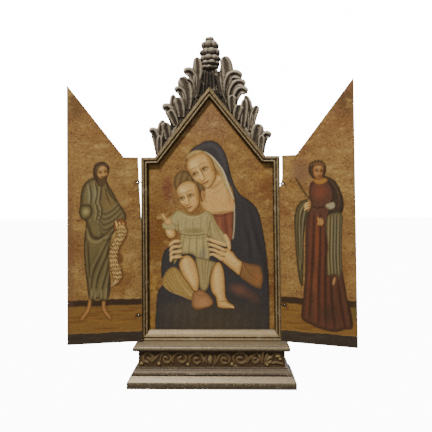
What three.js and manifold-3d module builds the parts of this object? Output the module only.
// A small standing triptych altarpiece in carved and gilded wood.
//
// A painted centre panel with a pointed gable stands on a moulded base. Strips of moulding are glued
// round the panel's face, a carved acanthus crest runs up both slopes to a pinecone finial, and two
// painted wings swing on wire eyes, so that the shrine folds shut for travel.
//
// Millimetres, +Z up. The origin is in the middle of the base's underside, below the middle of the
// panel's thickness. The front faces -Y, so the viewer's left is -X.

import * as THREE from 'three';
import { mergeVertices } from 'three/addons/utils/BufferGeometryUtils.js';
import Module from 'manifold-3d';

const wasm = await Module();
wasm.setup();

// ---------------------------------------------------------------- driving dimensions

const GAP = 0.3; // left between two pieces that touch

// base: plinth, frieze block and cornice, all flush with one flat back
const BASE_BACK = 34;
const FRIEZE_HALF = 121.2;
const FRIEZE_FRONT = 28;
const PLINTH_TOP = 30.8;
const FRIEZE_TOP = 57;
const CORNICE_TOP = 67.7;

// frame: a board with a shouldered gable, and the mouldings on its face
const FRAME_HALF = 119;
const FRAME_BOTTOM = CORNICE_TOP + GAP;
const SHOULDER_Z = 381;
const GABLE_FOOT = 94.7;
const APEX_Z = 501.5;
const BOARD_BACK = 11;
const BOARD_FACE = -0.8;
const MOULDING_FRONT = -11;
const MOULDING_WIDTH = 11.8;
const SILL_HEIGHT = 17.6;
const MITRE_GAP = 0.25;

// wings
const WING_THICK = 5;
const WING_EDGE = 2.2; // from the hinge axis to the board's inner edge
const WING_WIDTH = 117.2;
const WING_BOTTOM = CORNICE_TOP + 1.4;
const WING_SHOULDER = 24;
const WING_SHOULDER_Z = 380.6;
const WING_APEX_Z = 501;
const HINGE_X = 120.2;
const HINGE_Y = -14.4;

// wire eyes: a level ring on the frame, linked with an upright ring on the wing
const WIRE = 0.7; // radius of the wire
const EYE = 2.6; // radius of the ring, at the middle of the wire
const SHANK = 9;
const BORE = WIRE + 0.35;
const FRAME_SHANK_TURN = 53; // degrees from straight sideways to straight back
const NOTCH_DEPTH = 6.4; // from the hinge axis
const NOTCH_HEIGHT = 7.6;

const SIDES = [
  { name: 'left', sign: -1, open: 10.5, hinges: { upper: 338, lower: 113 } },
  { name: 'right', sign: 1, open: 17, hinges: { upper: 333, lower: 130 } },
];

// crest and finial
const CREST_FRONT = -9;
const CREST_BACK = 8;
const BROADEST = 0.6; // where along its length a leaf is widest
const STALK_FOOT = 27; // half width where the stalk's edges meet the gable's slopes
const STALK_FOOT_Z = 467;
const STALK_NECK = 12.5; // half width under the collar
const NECK_Z = 534;
const COLLAR_R = 16;
const CONE_R = 13.2; // to the middle of the widest row of scales
const CONE_HALF = 17; // over the scales
const CONE_LEAN = 1.8; // the carver set the cone a little to the right
const CONE_FOOT = 541;
const CONE_TOP = 592;

// ---------------------------------------------------------------- materials

const finish = (color, roughness, metalness) =>
  new THREE.MeshStandardMaterial({ color, roughness, metalness, flatShading: true });
const wornGilt = finish('#8e7a58', 0.55, 0.25);
const paleGilt = finish('#9e8b6b', 0.5, 0.3);
const darkGilt = finish('#6d5f4b', 0.6, 0.2);
const paintedGold = finish('#a07c49', 0.6, 0.1);
const ironWire = finish('#4a443c', 0.55, 0.7);

// ---------------------------------------------------------------- solids

const v3 = (x, y, z) => new THREE.Vector3(x, y, z);
const radians = THREE.MathUtils.degToRad;

// A closed solid from rings of points, each ring joined to the next and the two ends capped.
// The cap's triangles come from the ring's flat outline.
function loft(rings, outline) {
  const count = rings[0].length;
  const last = (rings.length - 1) * count;
  const positions = rings.flat().flatMap((p) => [p.x, p.y, p.z]);
  const faces = [];
  for (let r = 0; r < rings.length - 1; r++) {
    for (let i = 0; i < count; i++) {
      const j = (i + 1) % count;
      const a = r * count + i;
      const b = r * count + j;
      faces.push([a, b, b + count], [a, b + count, a + count]);
    }
  }
  const clockwise = THREE.ShapeUtils.isClockWise(outline);
  for (const triangle of THREE.ShapeUtils.triangulateShape(outline, [])) {
    const [a, b, c] = clockwise ? triangle.reverse() : triangle;
    faces.push([c, b, a], [last + a, last + b, last + c]);
  }
  return outward(positions, faces);
}

// Turns a set of faces so that they point out of the solid.
function outward(positions, faces) {
  const at = (i) => new THREE.Vector3().fromArray(positions, i * 3);
  let volume = 0;
  for (const [a, b, c] of faces) volume += at(a).dot(at(b).cross(at(c)));
  const index = faces.flatMap(([a, b, c]) => (volume > 0 ? [a, b, c] : [a, c, b]));
  const geometry = new THREE.BufferGeometry();
  geometry.setAttribute('position', new THREE.Float32BufferAttribute(positions, 3));
  geometry.setIndex(index);
  return geometry;
}

const toOutline = (points) => points.map(([x, y]) => new THREE.Vector2(x, y));

// A flat outline in X and Z, with its thickness along Y.
function slab(points, front, back) {
  const ring = (y) => points.map(([x, z]) => v3(x, y, z));
  return loft([ring(front), ring(back)], toOutline(points));
}

function toSolid(geometry) {
  const bare = geometry.clone();
  for (const name of Object.keys(bare.attributes)) {
    if (name !== 'position') bare.deleteAttribute(name);
  }
  const merged = mergeVertices(bare, 1e-4);
  return new wasm.Manifold(
    new wasm.Mesh({
      numProp: 3,
      vertProperties: new Float32Array(merged.attributes.position.array),
      triVerts: new Uint32Array(merged.index.array),
    }),
  );
}

function toGeometry(solid) {
  const mesh = solid.getMesh();
  const geometry = new THREE.BufferGeometry();
  geometry.setAttribute('position', new THREE.BufferAttribute(mesh.vertProperties.slice(), 3));
  geometry.setIndex(new THREE.BufferAttribute(mesh.triVerts.slice(), 1));
  return geometry;
}

const join = (geometries) => geometries.map(toSolid).reduce((sum, solid) => sum.add(solid));
const cut = (geometry, tools) => toGeometry(toSolid(geometry).subtract(join(tools)));

// Points on an arc, from one angle to another in degrees.
function arc(centreX, centreY, radius, from, to, steps) {
  return Array.from({ length: steps + 1 }, (_, i) => {
    const angle = radians(from + ((to - from) * i) / steps);
    return [centreX + radius * Math.cos(angle), centreY + radius * Math.sin(angle)];
  });
}

// A block with one profile run round its front and both sides, and a flat back.
// The profile's points are [how far it stands out from the frieze block, height].
function mouldedBlock(profile) {
  const rings = profile.map(([out, z]) => {
    const x = FRIEZE_HALF + out;
    const front = -(FRIEZE_FRONT + out);
    return [v3(-x, front, z), v3(x, front, z), v3(x, BASE_BACK, z), v3(-x, BASE_BACK, z)];
  });
  return loft(rings, toOutline([[0, 0], [1, 0], [1, 1], [0, 1]]));
}

// A blade swept along a bent line in the plane of the crest: broad in the middle, with a blunt tip
// that leans forward, and a raised rib down its face.
function blade({ foot, bend, tip, width, curl = 5, depth = 6.5 }) {
  const line = new THREE.QuadraticBezierCurve(...toOutline([foot, bend, tip]));
  const section = [[-1, 0.1], [-0.5, -0.66], [0, -1], [0.5, -0.66], [1, 0.1], [0, 1]];
  const steps = 6;
  const rings = [];
  for (let i = 0; i <= steps; i++) {
    const t = i / steps;
    const at = line.getPoint(t);
    const along = line.getTangent(t);
    const taper = t < BROADEST
      ? 0.72 + 0.28 * Math.sin((t / BROADEST) * (Math.PI / 2))
      : Math.sqrt(1 - ((t - BROADEST) / (1.03 - BROADEST)) ** 2);
    const half = (width / 2) * taper;
    const thick = depth * (1 - 0.45 * t * t) * Math.max(taper, 0.45);
    const y = -1 - curl * t * t;
    rings.push(section.map(([n, f]) =>
      v3(at.x - along.y * n * half, y + f * thick, at.y + along.x * n * half)));
  }
  return loft(rings, toOutline(section));
}

const mirrorOutline = (points) => [...points, ...points.map(([x, z]) => [-x, z]).reverse()];

// ---------------------------------------------------------------- base

function plinth() {
  return mouldedBlock([
    [16.8, 0], [16.8, 10], [15.6, 11.6], // fascia and its worn arris
    [10.4, 17.4], [9.4, 18.4], [9.4, 19.6], // sloping bevel, then a quirk
    ...arc(3.2, 21.2, 6.4, 0, 78, 5), // ovolo
    [3.6, 28.6], [3.4, PLINTH_TOP],
  ]);
}

function cornice() {
  const lower = FRIEZE_TOP + GAP;
  return mouldedBlock([
    [1.6, lower], [2.6, lower + 0.9],
    ...arc(4, lower + 4.9, 4.2, -84, 84, 7), // half-round nosing
    [3.9, lower + 9.3], [3.4, CORNICE_TOP],
  ]);
}

// A rinceau: one stem that weaves over one scroll and under the next, each winding into an eye.
const SCROLL_PITCH = 25;
const SCROLL_HIGH = 8.8;
const SCROLL_WIDE = 12.2;
const STEM = 1.7;
const WORN_LEAF_X = 91; // root of the worn leaf that ends the right half
const WORN_LEAF_R = 7;
const FRIEZE_MID = (PLINTH_TOP + FRIEZE_TOP) / 2;

function scroll(centre, over, heading) {
  const sweep = 1.42 * 360;
  const steps = 17;
  const section = [[-1, 0.9], [-0.7, -0.5], [0, -1], [0.7, -0.5], [1, 0.9]];
  const point = (t) => {
    const shrink = t < 0.35 ? 1 : 1 - 0.78 * ((t - 0.35) / 0.65);
    const angle = radians(180 - (over ? 1 : -1) * sweep * t);
    return new THREE.Vector2(
      centre + heading * SCROLL_WIDE * shrink * Math.cos(angle),
      FRIEZE_MID + SCROLL_HIGH * shrink * Math.sin(angle),
    );
  };
  const rings = [];
  for (let i = 0; i <= steps; i++) {
    const t = i / steps;
    const at = point(t);
    const along = point(Math.min(t + 0.01, 1)).sub(point(Math.max(t - 0.01, 0))).normalize();
    const half = STEM * (1 - 0.3 * t);
    rings.push(section.map(([n, f]) =>
      v3(at.x - along.y * n * half, -FRIEZE_FRONT + f * half, at.y + along.x * n * half)));
  }
  return loft(rings, toOutline(section));
}

// A bead, bud or leaf lobe: a low pointed dome half sunk in the face.
function lobe(x, z, halfWide, halfHigh, proud, tilt = 0) {
  const dome = new THREE.SphereGeometry(1, 6, 4);
  dome.scale(halfWide, proud, halfHigh);
  dome.rotateY(radians(tilt));
  dome.translate(x, -FRIEZE_FRONT, z);
  return dome;
}

function frieze() {
  const low = PLINTH_TOP + GAP;
  const block = slab(
    [[-FRIEZE_HALF, low], [FRIEZE_HALF, low], [FRIEZE_HALF, FRIEZE_TOP], [-FRIEZE_HALF, FRIEZE_TOP]],
    -FRIEZE_FRONT, BASE_BACK);
  const carving = [lobe(0, FRIEZE_MID - 1, 3.4, 9, 3.2)];
  for (const side of [-1, 1]) {
    const scrolls = side < 0 ? 4 : 3;
    for (let i = 0; i < scrolls; i++) {
      carving.push(scroll(side * (i + 1) * SCROLL_PITCH, i % 2 === 0, side));
    }
    carving.push(lobe(side * 8, FRIEZE_MID - 5, 2.2, 6, 2.2, side * 35));
    for (let i = 0; i < 3; i++) {
      carving.push(lobe(side * (i + 0.5) * 2 * SCROLL_PITCH - side * 12.5, low + 3, 2.1, 2.1, 2.4));
    }
  }
  // the worn leaf that ends the right half: a fan of five lobes and one loose lobe beyond it
  for (let tilt = -60; tilt <= 60; tilt += 30) {
    const x = WORN_LEAF_X + WORN_LEAF_R * Math.cos(radians(tilt));
    carving.push(lobe(x, FRIEZE_MID + WORN_LEAF_R * Math.sin(radians(tilt)), 2.1, 4.4, 2, 90 - tilt));
  }
  carving.push(lobe(WORN_LEAF_X + 20, FRIEZE_MID + 4, 4.4, 2.6, 1.6, 10));
  carving.push(lobe(WORN_LEAF_X + 18, low + 4, 6.5, 1.5, 1.4));
  return toGeometry(join([block, ...carving]));
}

// ---------------------------------------------------------------- frame

const GABLE = [
  [-FRAME_HALF, FRAME_BOTTOM], [-FRAME_HALF, SHOULDER_Z], [-GABLE_FOOT, SHOULDER_Z], [0, APEX_Z],
  [GABLE_FOOT, SHOULDER_Z], [FRAME_HALF, SHOULDER_Z], [FRAME_HALF, FRAME_BOTTOM],
];

// Moulding profiles, from the outer edge (0) to the sight edge (1), with the height off the board.
const PROUD = BOARD_FACE - GAP - MOULDING_FRONT;
const STRIP_PROFILE = [
  [0, 0], [0, 0.78 * PROUD], [0.1, 0.94 * PROUD], // outer arris
  [0.2, 0.98 * PROUD], [0.32, PROUD], [0.45, 0.95 * PROUD], [0.5, 0.8 * PROUD], // round band
  [0.6, 0.78 * PROUD], [0.66, 0.88 * PROUD], [0.78, 0.92 * PROUD], [0.9, 0.82 * PROUD], // groove and bead
  [0.97, 0.55 * PROUD], [1, 0],
];
const SILL_PROFILE = [
  [0, 0], [0, 0.94 * PROUD], [0.06, PROUD], [0.16, PROUD], [0.22, 0.92 * PROUD], // lip
  [0.25, 0.8 * PROUD], [0.33, 0.8 * PROUD], [0.37, 0.96 * PROUD], // groove
  [0.6, 0.8 * PROUD], [0.9, 0.42 * PROUD], [1, 0.32 * PROUD], [1, 0], // weathered slope
];

// The sight corner inside each corner of the outline, where the strips' inner edges cross.
function sightCorners(outline, widths) {
  const count = outline.length;
  const line = (i) => {
    const from = new THREE.Vector2(...outline[i]);
    const along = new THREE.Vector2(...outline[(i + 1) % count]).sub(from).normalize();
    const inward = new THREE.Vector2(along.y, -along.x);
    return { from: from.addScaledVector(inward, widths[i]), along };
  };
  return outline.map((_, i) => {
    const one = line((i + count - 1) % count);
    const two = line(i);
    const between = two.from.clone().sub(one.from);
    const run = between.cross(two.along) / one.along.cross(two.along);
    return one.from.addScaledVector(one.along, run);
  });
}

const STRIPS = [
  'stile_left', 'shoulder_left', 'rake_left', 'rake_right', 'shoulder_right', 'stile_right', 'sill',
];
const STRIP_WIDTHS = STRIPS.map((name) => (name === 'sill' ? SILL_HEIGHT : MOULDING_WIDTH));
const SIGHT = sightCorners(GABLE, STRIP_WIDTHS);

function strip(index) {
  const profile = STRIPS[index] === 'sill' ? SILL_PROFILE : STRIP_PROFILE;
  const next = (index + 1) % GABLE.length;
  const outer = [index, next].map((i) => new THREE.Vector2(...GABLE[i]));
  const along = outer[1].clone().sub(outer[0]).normalize();
  const rings = [index, next].map((corner, end) => {
    const back = along.clone().multiplyScalar(end === 0 ? MITRE_GAP : -MITRE_GAP);
    return profile.map(([across, proud]) => {
      const at = outer[end].clone().lerp(SIGHT[corner], across).add(back);
      return v3(at.x, BOARD_FACE - GAP - proud, at.y);
    });
  });
  return loft(rings, toOutline(profile));
}

// A round bore of the given length, from a point along a direction in plan.
function boreTool(radius, from, direction, start, end) {
  const tool = new THREE.CylinderGeometry(radius, radius, end - start, 6);
  tool.applyQuaternion(new THREE.Quaternion().setFromUnitVectors(v3(0, 1, 0), direction));
  const middle = from.clone().addScaledVector(direction, (start + end) / 2);
  return tool.translate(middle.x, middle.y, middle.z);
}

const frameShankDirection = (sign) => {
  const turn = radians(FRAME_SHANK_TURN);
  return v3(-sign * Math.cos(turn), Math.sin(turn), 0);
};

function stile(index, side) {
  const tools = Object.values(side.hinges).map((z) =>
    boreTool(BORE, v3(side.sign * HINGE_X, HINGE_Y, z), frameShankDirection(side.sign), 1, EYE + SHANK + 1));
  return cut(strip(index), tools);
}

// ---------------------------------------------------------------- crest

// Each leaf: where it grows from, the point it bends towards, and its tip, as [distance from the
// centre line, height]. The carver made the two slopes by eye, so they don't mirror each other.
const CREST_LEAVES = {
  left: [
    { foot: [20, 500], bend: [30, 520], tip: [22, 556], width: 17, curl: 2 },
    { foot: [22, 500], bend: [26, 550], tip: [44, 523], width: 11, curl: 6, depth: 8 },
    { foot: [24, 476], bend: [40, 494], tip: [49, 517], width: 21, curl: 4 },
    { foot: [36, 468], bend: [50, 512], tip: [60, 487], width: 11, curl: 7 },
    { foot: [34, 462], bend: [48, 472], tip: [52, 491], width: 17, curl: 2 },
    { foot: [44, 446], bend: [62, 464], tip: [65, 490], width: 13, curl: 5, depth: 8 },
    { foot: [48, 438], bend: [62, 458], tip: [79, 467], width: 17, curl: 5 },
    { foot: [60, 426], bend: [80, 424], tip: [81, 449], width: 21, curl: 4 },
    { foot: [74, 402], bend: [88, 422], tip: [103, 425], width: 14, curl: 7 },
    { foot: [88, 385], bend: [92, 400], tip: [84, 418], width: 12, curl: 2 },
  ],
  right: [
    { foot: [20, 500], bend: [36, 520], tip: [27, 556], width: 19, curl: 2 },
    { foot: [22, 498], bend: [32, 544], tip: [57, 518], width: 11, curl: 6, depth: 8 },
    { foot: [22, 490], bend: [44, 520], tip: [62, 506], width: 12, curl: 6 },
    { foot: [24, 480], bend: [50, 514], tip: [66, 490], width: 12, curl: 7 },
    { foot: [32, 466], bend: [46, 478], tip: [50, 500], width: 18, curl: 2 },
    { foot: [44, 444], bend: [57, 462], tip: [64, 487], width: 18, curl: 5, depth: 8 },
    { foot: [50, 436], bend: [68, 462], tip: [83, 462], width: 16, curl: 6 },
    { foot: [60, 422], bend: [80, 420], tip: [86, 441], width: 21, curl: 4 },
    { foot: [76, 400], bend: [91, 424], tip: [105, 412], width: 12, curl: 7 },
    { foot: [88, 385], bend: [92, 398], tip: [88, 416], width: 12, curl: 2 },
  ],
};

// The leaves' common root: a rib that widens up the slope, [distance from the centre line, height].
const CREST_ROOT = [
  [86, 384], [93, 388], [90, 404], [80, 424], [64, 444], [56, 462], [40, 472], [30, 494], [24, 530],
  [10, 530], [0, 490],
];

const RAKE_FALL = (APEX_Z - SHOULDER_Z) / GABLE_FOOT;
const AIR = 40; // how far the cutting shapes run past the carving

// Everything under the two slopes, with the gap that the carving keeps to the mouldings.
function roof() {
  const peak = APEX_Z + GAP * Math.hypot(1, RAKE_FALL);
  const wide = GABLE_FOOT + AIR;
  return slab([[0, peak], [wide, peak - wide * RAKE_FALL], [-wide, peak - wide * RAKE_FALL]], -AIR, AIR);
}

// The finial's own room, between the two crests: out to a line down beside its cone and stalk.
function finialRoom(spare) {
  const line = [
    [STALK_FOOT, STALK_FOOT_Z], [STALK_NECK, NECK_Z - 2],
    [COLLAR_R + 0.2, NECK_Z], [COLLAR_R + 0.2, CONE_FOOT],
    [CONE_HALF + CONE_LEAN, CONE_FOOT + 4], [CONE_HALF + CONE_LEAN, CONE_TOP + 1],
  ];
  return slab(mirrorOutline(line.map(([x, z]) => [x + spare, z])), -AIR, AIR);
}

function crest(side) {
  const root = slab(CREST_ROOT, CREST_FRONT + 6.5, CREST_BACK);
  const leaves = CREST_LEAVES[side.name].map(blade);
  const carved = join([root, ...leaves]).subtract(toSolid(roof())).subtract(toSolid(finialRoom(GAP)));
  return toGeometry(side.sign > 0 ? carved : carved.mirror([1, 0, 0]));
}

// The finial: a grooved stalk, a scalloped collar, and a pinecone of rounded scales in rows.
const CONE_ROWS = [
  { up: 0.1, count: 7, radius: 0.84, size: 4.7 },
  { up: 0.29, count: 7, radius: 0.94, size: 5.1 },
  { up: 0.49, count: 7, radius: 0.9, size: 5 },
  { up: 0.69, count: 6, radius: 0.7, size: 4.7 },
  { up: 0.85, count: 4, radius: 0.4, size: 4.3 },
];
const STALK_RIBS = [-0.8, -0.4, 0, 0.4, 0.8];

function finial() {
  const height = CONE_TOP - CONE_FOOT;
  const core = new THREE.LatheGeometry(
    toOutline([[0, -3], [9, -3], [11.4, 8], [11.8, 20], [10.4, 30], [6.4, 41], [0, 47]]), 9);
  core.rotateX(Math.PI / 2).translate(CONE_LEAN, 0, CONE_FOOT);
  const scales = CONE_ROWS.flatMap(({ up, count, radius, size }, row) =>
    Array.from({ length: count }, (_, i) => {
      const angle = ((i + (row % 2) / 2) / count) * 2 * Math.PI - Math.PI / 2;
      const scale = new THREE.SphereGeometry(size, 6, 3);
      scale.rotateX(Math.PI / 2).scale(1, 1, 1.1);
      return scale.translate(CONE_LEAN + Math.cos(angle) * CONE_R * radius,
        Math.sin(angle) * CONE_R * radius, CONE_FOOT + up * height);
    }));
  const bud = new THREE.SphereGeometry(4.6, 6, 4);
  bud.rotateX(Math.PI / 2).translate(CONE_LEAN, 0, CONE_TOP - 4.6);
  const collar = new THREE.LatheGeometry(
    toOutline([[0, -2], [COLLAR_R - 4, -2], [COLLAR_R, 1.4], [COLLAR_R - 0.4, 4.6], [10, 7], [0, 7]]), 14);
  collar.rotateX(Math.PI / 2).scale(1, 0.8, 1).translate(0, 0, NECK_Z);
  const stalk = slab(
    mirrorOutline([[STALK_FOOT, STALK_FOOT_Z], [STALK_NECK, NECK_Z - 2], [STALK_NECK - 1, NECK_Z + 2]]),
    CREST_FRONT + 2, CREST_BACK);
  const ribs = STALK_RIBS.map((across) => blade({
    foot: [across * STALK_FOOT * 0.8, APEX_Z - 10],
    bend: [across * (STALK_FOOT + STALK_NECK) * 0.4, (APEX_Z + NECK_Z) / 2],
    tip: [across * STALK_NECK, NECK_Z + 3],
    width: 8,
    curl: 0,
    depth: 8,
  }));
  const whole = join([core, bud, collar, stalk, ...ribs, ...scales]);
  return toGeometry(whole.subtract(toSolid(roof())).intersect(toSolid(finialRoom(0))));
}

// ---------------------------------------------------------------- wings and their eyes

function wing(side) {
  const inner = WING_EDGE;
  const outer = WING_EDGE + WING_WIDTH;
  const outline = [
    [inner, WING_BOTTOM], [outer, WING_BOTTOM], [outer, WING_APEX_Z],
    [inner + WING_SHOULDER, WING_SHOULDER_Z], [inner, WING_SHOULDER_Z],
  ];
  const board = slab(outline.map(([x, z]) => [side.sign * x, z]), -WING_THICK / 2, WING_THICK / 2);
  const tools = Object.values(side.hinges).flatMap((z) => {
    const notch = new THREE.BoxGeometry(NOTCH_DEPTH, WING_THICK + 2, NOTCH_HEIGHT);
    notch.translate((side.sign * NOTCH_DEPTH) / 2, 0, z);
    return [notch, boreTool(BORE, v3(0, 0, z), v3(side.sign, 0, 0), NOTCH_DEPTH - 1, 2 * EYE + SHANK + 1)];
  });
  return cut(board, tools);
}

// A closed ring of wire with its shank, about the given centre. The ring lies in the plane of
// the shank's direction and the second direction.
function eye(direction, second, ringCentre) {
  const upright = direction.clone().cross(second);
  const turns = 12;
  const sides = 5;
  const positions = [];
  const faces = [];
  for (let i = 0; i < turns; i++) {
    const around = (i / turns) * 2 * Math.PI;
    const out = direction.clone().multiplyScalar(Math.cos(around)).addScaledVector(second, Math.sin(around));
    for (let j = 0; j < sides; j++) {
      const lap = (j / sides) * 2 * Math.PI;
      const at = ringCentre.clone().addScaledVector(out, EYE + WIRE * Math.cos(lap))
        .addScaledVector(upright, WIRE * Math.sin(lap));
      positions.push(at.x, at.y, at.z);
      const a = i * sides + j;
      const b = i * sides + ((j + 1) % sides);
      const c = ((i + 1) % turns) * sides + ((j + 1) % sides);
      const d = ((i + 1) % turns) * sides + j;
      faces.push([a, b, c], [a, c, d]);
    }
  }
  const ring = outward(positions, faces);
  const shank = boreTool(WIRE, ringCentre, direction, EYE - 0.1, EYE + SHANK);
  return toGeometry(join([ring, shank]));
}

// ---------------------------------------------------------------- assembly

const altarpiece = new THREE.Group();

function place(parent, name, geometry, material) {
  const mesh = new THREE.Mesh(geometry, material);
  mesh.name = name;
  parent.add(mesh);
}

place(altarpiece, 'base_plinth', plinth(), darkGilt);
place(altarpiece, 'base_frieze', frieze(), darkGilt);
place(altarpiece, 'base_cornice', cornice(), wornGilt);
place(altarpiece, 'centre_panel', slab(GABLE, BOARD_FACE, BOARD_BACK), paintedGold);

STRIPS.forEach((name, index) => {
  const side = SIDES.find((one) => name === `stile_${one.name}`);
  place(altarpiece, name, side ? stile(index, side) : strip(index), paleGilt);
});

for (const side of SIDES) {
  place(altarpiece, `crest_${side.name}`, crest(side), darkGilt);

  const hung = new THREE.Group();
  hung.position.set(side.sign * HINGE_X, HINGE_Y, 0);
  hung.rotation.z = radians(-side.sign * side.open);
  altarpiece.add(hung);
  place(hung, `wing_${side.name}`, wing(side), paintedGold);

  for (const [level, z] of Object.entries(side.hinges)) {
    const axis = v3(side.sign * HINGE_X, HINGE_Y, z);
    const inward = frameShankDirection(side.sign);
    const across = inward.clone().cross(v3(0, 0, 1));
    place(altarpiece, `eye_frame_${side.name}_${level}`, eye(inward, across, axis), ironWire);
    const linked = eye(v3(side.sign, 0, 0), v3(0, 0, 1), v3(side.sign * EYE, 0, z));
    place(hung, `eye_wing_${side.name}_${level}`, linked, ironWire);
  }
}

place(altarpiece, 'finial', finial(), darkGilt);

export default altarpiece;
